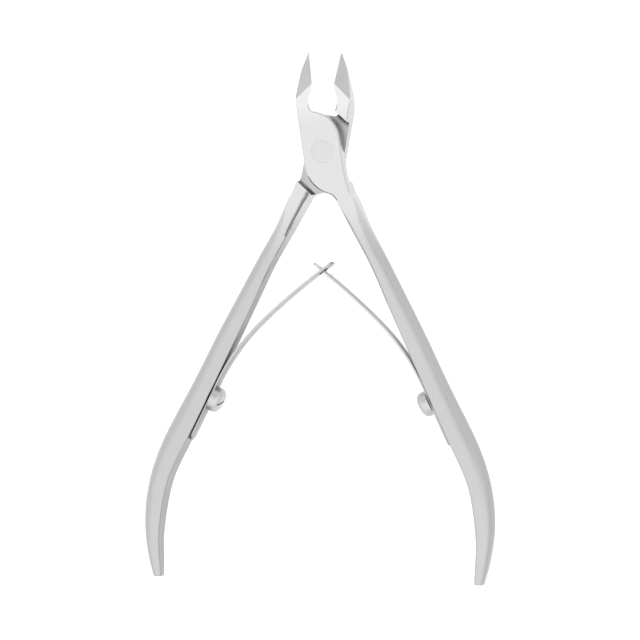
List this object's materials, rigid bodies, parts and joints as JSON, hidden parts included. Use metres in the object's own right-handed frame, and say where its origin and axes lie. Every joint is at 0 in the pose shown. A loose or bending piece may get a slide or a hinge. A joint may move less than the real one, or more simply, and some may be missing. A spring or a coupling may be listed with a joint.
{
  "type": "cuticle nipper",
  "caption": "Lap-jointed steel cuticle nipper with angled cutting jaws, bowed handles and interlocking leaf springs that hold it open.",
  "frame": {"origin": "on the pivot's axis, in the plane that the joint's back face rests on", "axes": "+Y from the pivot towards the jaws, +X towards the front lever's handle, +Z out of the front of the joint"},
  "size_m": [0.0786, 0.1153, 0.006],
  "materials": {
    "lever_steel": "satin-polished forged stainless steel",
    "rivet_steel": "ground flush with the joint",
    "spring_steel": "smooth rolled spring steel",
    "screw_steel": "tumbled satin steel"
  },
  "bodies": {
    "back_lever": {"back_lever": "lever_steel", "pivot_rivet": "rivet_steel", "slotted_spring_root": "spring_steel", "slotted_spring_screw": "screw_steel"},
    "front_lever": {"front_lever": "lever_steel", "tongued_spring_root": "spring_steel", "tongued_spring_screw": "screw_steel"},
    "slotted_spring": {"slotted_spring_arm": "spring_steel"},
    "tongued_spring": {"tongued_spring_arm": "spring_steel"}
  },
  "joints": [
    {"name": "jaw_pivot", "type": "hinge", "parent": "back_lever", "child": "front_lever", "pos_m": [0, 0, 0], "axis": [0, 0, -1], "range_deg": [0, 18.8], "stiffness_Nm_per_rad": 1.5, "springref_deg": -5.73},
    {"name": "tongued_spring_flex", "type": "hinge", "parent": "front_lever", "child": "tongued_spring", "pos_m": [0.01868, -0.04338, 0.003], "axis": [0, 0, -1], "range_deg": [0, 11.5]},
    {"name": "slotted_spring_flex", "type": "hinge", "parent": "back_lever", "child": "slotted_spring", "pos_m": [-0.01868, -0.04338, 0.003], "axis": [0, 0, 1], "range_deg": [0, 11.5]}
  ],
  "couplings": [
    {"joint": "tongued_spring_flex", "follows": "jaw_pivot", "ratio": 0.61},
    {"joint": "slotted_spring_flex", "follows": "jaw_pivot", "ratio": 0.61}
  ]
}
